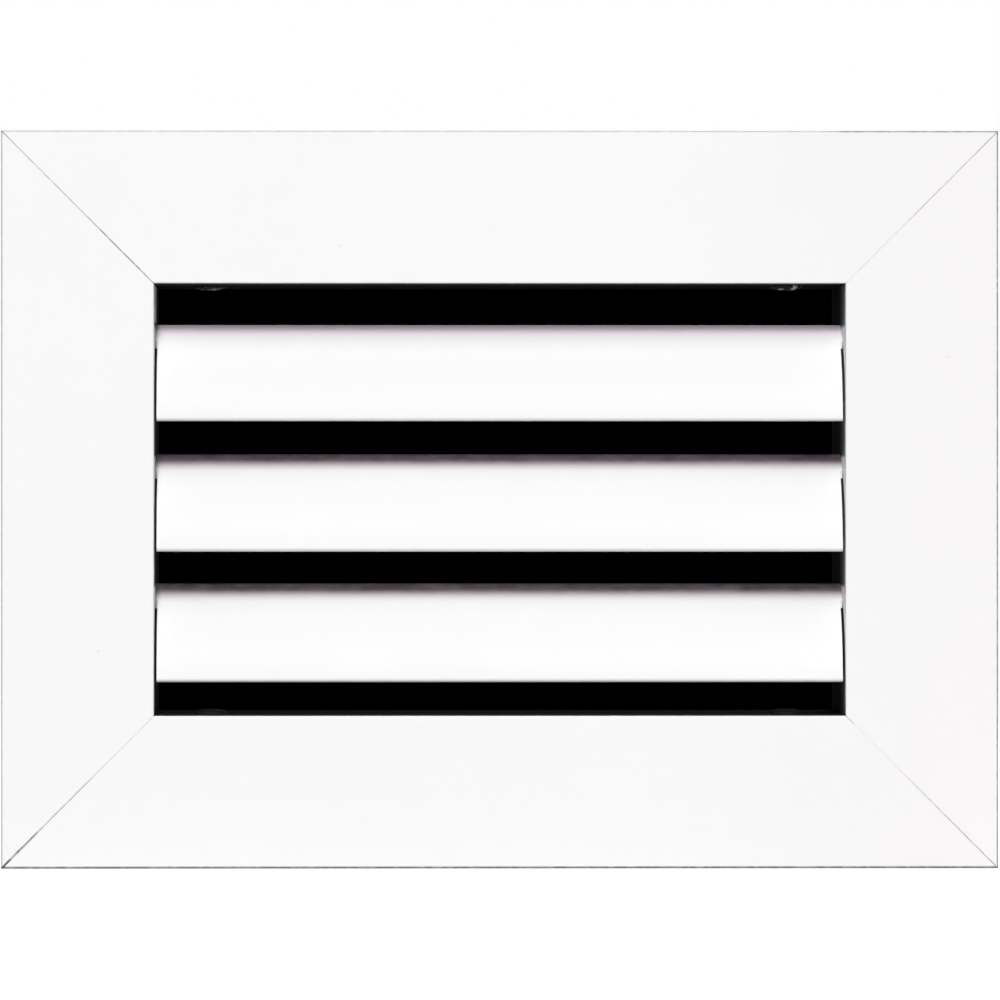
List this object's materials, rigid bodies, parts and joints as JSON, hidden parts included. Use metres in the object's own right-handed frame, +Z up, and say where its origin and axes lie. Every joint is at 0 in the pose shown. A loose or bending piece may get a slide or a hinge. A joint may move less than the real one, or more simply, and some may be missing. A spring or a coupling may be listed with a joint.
{
  "type": "return air grille",
  "caption": "Wall return air grille: white flange frame with mitred corners, fixed curved blades across the opening, and a neck with concealed spring clips that enters the duct.",
  "frame": {"origin": "middle of the duct opening, in the wall plane that the flange's outer lip rests on", "axes": "+X to the right and +Z up as seen from the room, +Y from the room into the duct"},
  "size_m": [0.196, 0.042, 0.145],
  "materials": {
    "white_powder_coat": "satin",
    "zinc_plated_cleat": "satin",
    "spring_steel": "satin",
    "zinc_plated_screw": "bright",
    "rivet_aluminium": "satin"
  },
  "bodies": {
    "root": {"top_rail": "white_powder_coat", "bottom_rail": "white_powder_coat", "left_stile": "white_powder_coat", "right_stile": "white_powder_coat", "blade_1": "white_powder_coat", "blade_2": "white_powder_coat", "blade_3": "white_powder_coat", "corner_cleat_top_left": "zinc_plated_cleat", "corner_cleat_top_right": "zinc_plated_cleat", "corner_cleat_bottom_left": "zinc_plated_cleat", "corner_cleat_bottom_right": "zinc_plated_cleat", "spring_clip_top_left": "spring_steel", "spring_clip_top_right": "spring_steel", "spring_clip_bottom_left": "spring_steel", "spring_clip_bottom_right": "spring_steel", "blade_screws": "zinc_plated_screw", "clip_rivets": "rivet_aluminium"}
  },
  "joints": []
}
